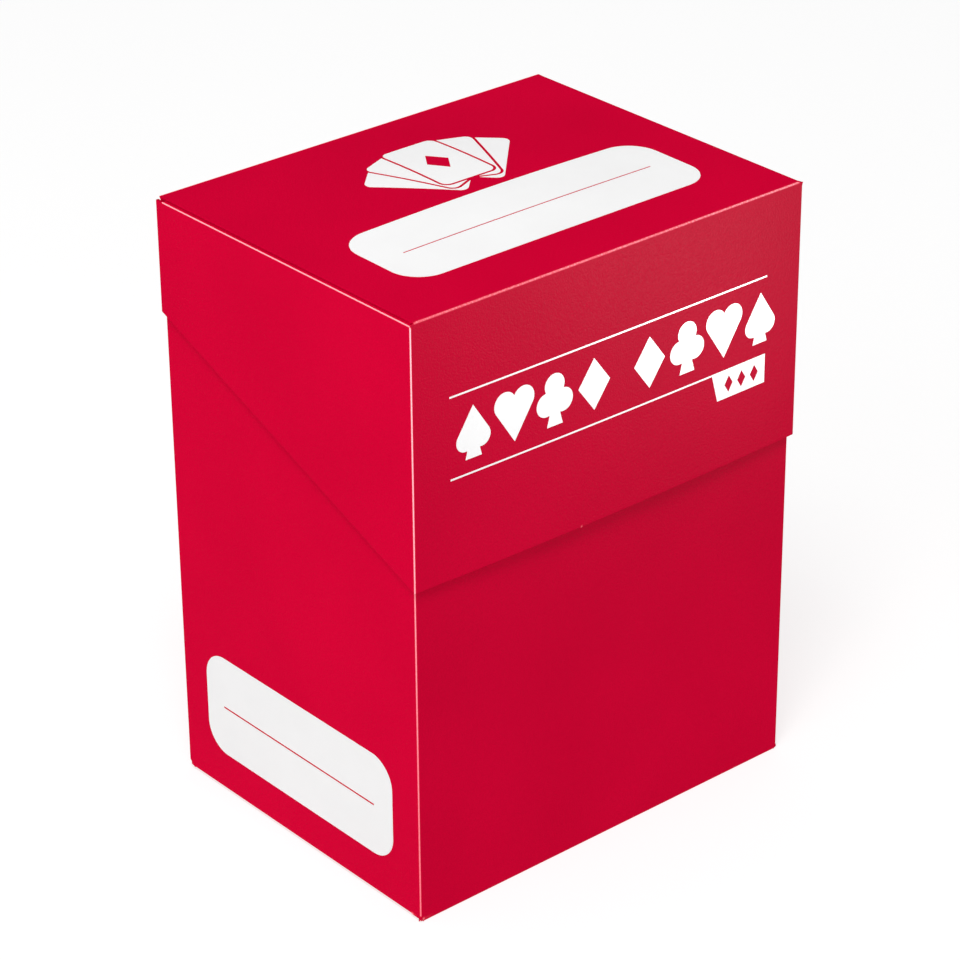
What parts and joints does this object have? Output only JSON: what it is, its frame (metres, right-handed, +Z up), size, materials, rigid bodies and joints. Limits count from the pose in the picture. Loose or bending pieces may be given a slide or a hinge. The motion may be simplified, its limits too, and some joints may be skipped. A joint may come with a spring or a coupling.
{
  "type": "card deck box",
  "caption": "Folded plastic deck box with a hinged lid over a tall card well, writing fields on its lid and side, and a loose divider.",
  "frame": {"origin": "middle of the footprint, on the surface the box stands on", "axes": "+Z up, -Y out of the wide face that carries the lid's front, +Y towards the hinge, +X to the right seen from the front"},
  "size_m": [0.0732, 0.057, 0.096],
  "materials": {
    "red_sheet": "fine matte polypropylene sheet with whitened creases",
    "white_ink": "satin white print",
    "divider_sheet": "fine matte polypropylene sheet"
  },
  "bodies": {
    "case": {"case_front_panel": "red_sheet", "case_back_panel": "red_sheet", "case_bottom_panel": "red_sheet", "case_left_side_panel": "red_sheet", "case_right_side_panel": "red_sheet", "case_left_bottom_tab": "red_sheet", "case_right_bottom_tab": "red_sheet", "case_left_glue_flap": "red_sheet", "case_right_glue_flap": "red_sheet", "side_writing_field": "white_ink"},
    "lid": {"lid_top_panel": "red_sheet", "lid_front_panel": "red_sheet", "lid_left_side_panel": "red_sheet", "lid_right_side_panel": "red_sheet", "lid_left_top_tab": "red_sheet", "lid_right_top_tab": "red_sheet", "top_writing_field": "white_ink", "front_rules": "white_ink", "front_pip_row": "white_ink", "front_badge": "white_ink", "top_emblem": "white_ink"},
    "divider": {"card_divider": "divider_sheet"}
  },
  "joints": [
    {"name": "lid_hinge", "type": "hinge", "parent": "case", "child": "lid", "pos_m": [0, 0.0285, 0.096], "axis": [-1, 0, 0], "range_deg": [0, 265]},
    {"name": "divider_slide", "type": "slide", "parent": "case", "child": "divider", "axis": [0, -1, 0], "range_m": [0, 0.0538]}
  ]
}
